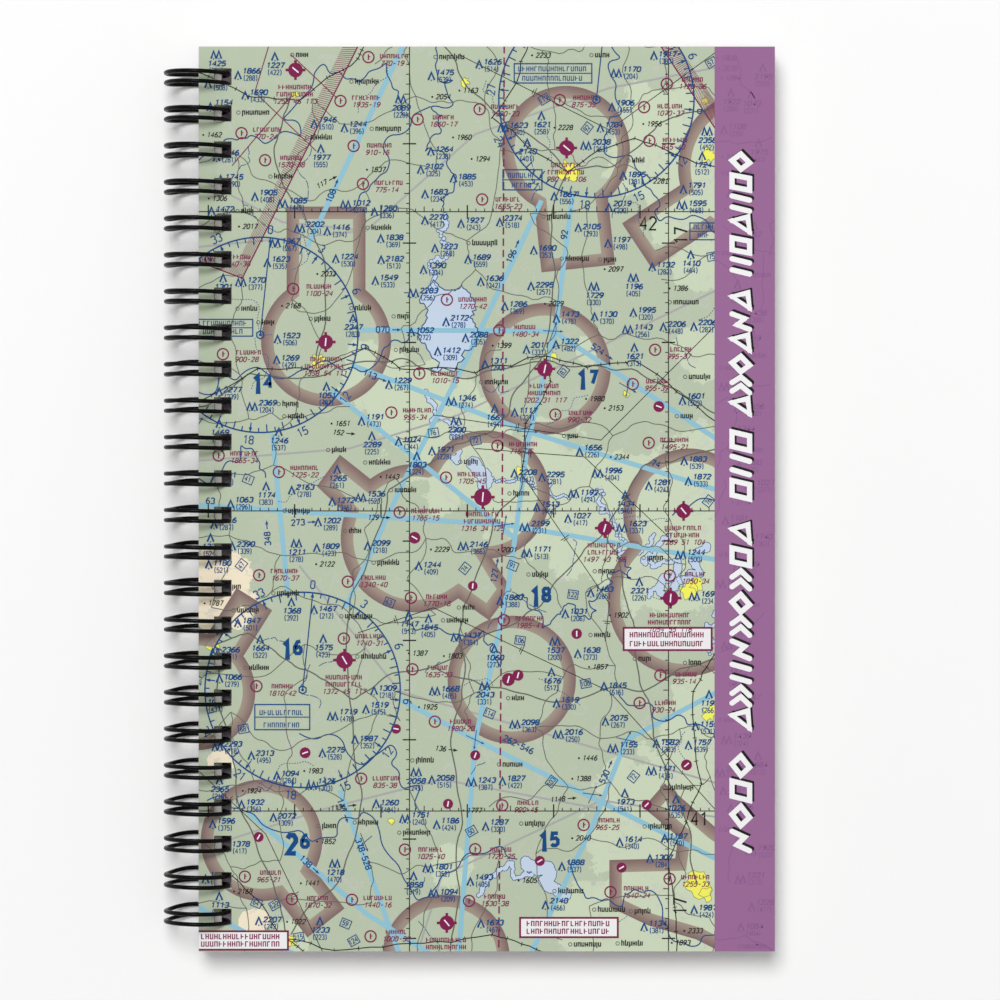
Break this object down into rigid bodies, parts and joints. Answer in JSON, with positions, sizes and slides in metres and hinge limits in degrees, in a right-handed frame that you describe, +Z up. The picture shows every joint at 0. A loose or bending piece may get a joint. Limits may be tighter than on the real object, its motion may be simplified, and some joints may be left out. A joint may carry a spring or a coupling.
{
  "type": "pilot logbook",
  "caption": "Wire-bound pocket logbook with a chart-printed card cover, turning leaves and a row of twin wire loops along one edge.",
  "frame": {"origin": "middle of the bottom of the bounding box, on the surface that the closed logbook lies on; the wire loops touch that surface", "axes": "+X from the wire binding towards the fore edge, +Y from the foot to the head of the cover, +Z up out of the front cover"},
  "size_m": [0.146, 0.216, 0.0158],
  "materials": {
    "front_card": "soft matt laminated card printed with a pale green chart and a purple band",
    "back_card": "soft matt laminated card, plain purple",
    "paper": "uncoated off-white writing paper with a faint dot grid",
    "wire": "black nylon-coated steel wire, satin gloss"
  },
  "bodies": {
    "binding": {"back_cover": "back_card", "binding_wire": "wire"},
    "front_cover": {"front_cover": "front_card"},
    "first_sheet": {"first_sheet": "paper"},
    "page_section_01": {"page_section_01": "paper"},
    "page_section_02": {"page_section_02": "paper"},
    "page_section_03": {"page_section_03": "paper"},
    "page_section_04": {"page_section_04": "paper"},
    "page_section_05": {"page_section_05": "paper"},
    "page_section_06": {"page_section_06": "paper"},
    "page_section_07": {"page_section_07": "paper"},
    "page_section_08": {"page_section_08": "paper"},
    "page_section_09": {"page_section_09": "paper"},
    "page_section_10": {"page_section_10": "paper"},
    "page_section_11": {"page_section_11": "paper"},
    "page_section_12": {"page_section_12": "paper"},
    "page_section_13": {"page_section_13": "paper"},
    "page_section_14": {"page_section_14": "paper"},
    "page_section_15": {"page_section_15": "paper"},
    "page_section_16": {"page_section_16": "paper"},
    "page_section_17": {"page_section_17": "paper"},
    "last_sheet": {"last_sheet": "paper"}
  },
  "joints": [
    {"name": "front_cover_hinge", "type": "hinge", "parent": "binding", "child": "front_cover", "pos_m": [-0.06509, 0, 0.00801], "axis": [0, -1, 0], "range_deg": [0, 180]},
    {"name": "first_sheet_hinge", "type": "hinge", "parent": "binding", "child": "first_sheet", "pos_m": [-0.06509, 0, 0.00801], "axis": [0, -1, 0], "range_deg": [0, 178.9]},
    {"name": "page_section_01_hinge", "type": "hinge", "parent": "binding", "child": "page_section_01", "pos_m": [-0.06509, 0, 0.00801], "axis": [0, -1, 0], "range_deg": [0, 175.6]},
    {"name": "page_section_02_hinge", "type": "hinge", "parent": "binding", "child": "page_section_02", "pos_m": [-0.06509, 0, 0.00801], "axis": [0, -1, 0], "range_deg": [0, 170.2]},
    {"name": "page_section_03_hinge", "type": "hinge", "parent": "binding", "child": "page_section_03", "pos_m": [-0.06509, 0, 0.00801], "axis": [0, -1, 0], "range_deg": [0, 162.8]},
    {"name": "page_section_04_hinge", "type": "hinge", "parent": "binding", "child": "page_section_04", "pos_m": [-0.06509, 0, 0.00801], "axis": [0, -1, 0], "range_deg": [0, 153.6]},
    {"name": "page_section_05_hinge", "type": "hinge", "parent": "binding", "child": "page_section_05", "pos_m": [-0.06509, 0, 0.00801], "axis": [0, -1, 0], "range_deg": [0, 142.9]},
    {"name": "page_section_06_hinge", "type": "hinge", "parent": "binding", "child": "page_section_06", "pos_m": [-0.06509, 0, 0.00801], "axis": [0, -1, 0], "range_deg": [0, 130.9]},
    {"name": "page_section_07_hinge", "type": "hinge", "parent": "binding", "child": "page_section_07", "pos_m": [-0.06509, 0, 0.00801], "axis": [0, -1, 0], "range_deg": [0, 117.8]},
    {"name": "page_section_08_hinge", "type": "hinge", "parent": "binding", "child": "page_section_08", "pos_m": [-0.06509, 0, 0.00801], "axis": [0, -1, 0], "range_deg": [0, 104.1]},
    {"name": "page_section_09_hinge", "type": "hinge", "parent": "binding", "child": "page_section_09", "pos_m": [-0.06509, 0, 0.00801], "axis": [0, -1, 0], "range_deg": [0, 90]},
    {"name": "page_section_10_hinge", "type": "hinge", "parent": "binding", "child": "page_section_10", "pos_m": [-0.06509, 0, 0.00801], "axis": [0, -1, 0], "range_deg": [0, 75.9]},
    {"name": "page_section_11_hinge", "type": "hinge", "parent": "binding", "child": "page_section_11", "pos_m": [-0.06509, 0, 0.00801], "axis": [0, -1, 0], "range_deg": [0, 62.2]},
    {"name": "page_section_12_hinge", "type": "hinge", "parent": "binding", "child": "page_section_12", "pos_m": [-0.06509, 0, 0.00801], "axis": [0, -1, 0], "range_deg": [0, 49.1]},
    {"name": "page_section_13_hinge", "type": "hinge", "parent": "binding", "child": "page_section_13", "pos_m": [-0.06509, 0, 0.00801], "axis": [0, -1, 0], "range_deg": [0, 37.1]},
    {"name": "page_section_14_hinge", "type": "hinge", "parent": "binding", "child": "page_section_14", "pos_m": [-0.06509, 0, 0.00801], "axis": [0, -1, 0], "range_deg": [0, 26.4]},
    {"name": "page_section_15_hinge", "type": "hinge", "parent": "binding", "child": "page_section_15", "pos_m": [-0.06509, 0, 0.00801], "axis": [0, -1, 0], "range_deg": [0, 17.2]},
    {"name": "page_section_16_hinge", "type": "hinge", "parent": "binding", "child": "page_section_16", "pos_m": [-0.06509, 0, 0.00801], "axis": [0, -1, 0], "range_deg": [0, 9.8]},
    {"name": "page_section_17_hinge", "type": "hinge", "parent": "binding", "child": "page_section_17", "pos_m": [-0.06509, 0, 0.00801], "axis": [0, -1, 0], "range_deg": [0, 4.4]},
    {"name": "last_sheet_hinge", "type": "hinge", "parent": "binding", "child": "last_sheet", "pos_m": [-0.06509, 0, 0.00801], "axis": [0, -1, 0], "range_deg": [0, 1.1]}
  ],
  "couplings": [
    {"joint": "first_sheet_hinge", "follows": "front_cover_hinge", "ratio": 0.99389},
    {"joint": "page_section_01_hinge", "follows": "front_cover_hinge", "ratio": 0.97555},
    {"joint": "page_section_02_hinge", "follows": "front_cover_hinge", "ratio": 0.94556},
    {"joint": "page_section_03_hinge", "follows": "front_cover_hinge", "ratio": 0.90444},
    {"joint": "page_section_04_hinge", "follows": "front_cover_hinge", "ratio": 0.85333},
    {"joint": "page_section_05_hinge", "follows": "front_cover_hinge", "ratio": 0.79389},
    {"joint": "page_section_06_hinge", "follows": "front_cover_hinge", "ratio": 0.72722},
    {"joint": "page_section_07_hinge", "follows": "front_cover_hinge", "ratio": 0.65444},
    {"joint": "page_section_08_hinge", "follows": "front_cover_hinge", "ratio": 0.57833},
    {"joint": "page_section_09_hinge", "follows": "front_cover_hinge", "ratio": 0.5},
    {"joint": "page_section_10_hinge", "follows": "front_cover_hinge", "ratio": 0.42167},
    {"joint": "page_section_11_hinge", "follows": "front_cover_hinge", "ratio": 0.34556},
    {"joint": "page_section_12_hinge", "follows": "front_cover_hinge", "ratio": 0.27278},
    {"joint": "page_section_13_hinge", "follows": "front_cover_hinge", "ratio": 0.20611},
    {"joint": "page_section_14_hinge", "follows": "front_cover_hinge", "ratio": 0.14667},
    {"joint": "page_section_15_hinge", "follows": "front_cover_hinge", "ratio": 0.095555},
    {"joint": "page_section_16_hinge", "follows": "front_cover_hinge", "ratio": 0.054444},
    {"joint": "page_section_17_hinge", "follows": "front_cover_hinge", "ratio": 0.024444},
    {"joint": "last_sheet_hinge", "follows": "front_cover_hinge", "ratio": 0.006111}
  ]
}
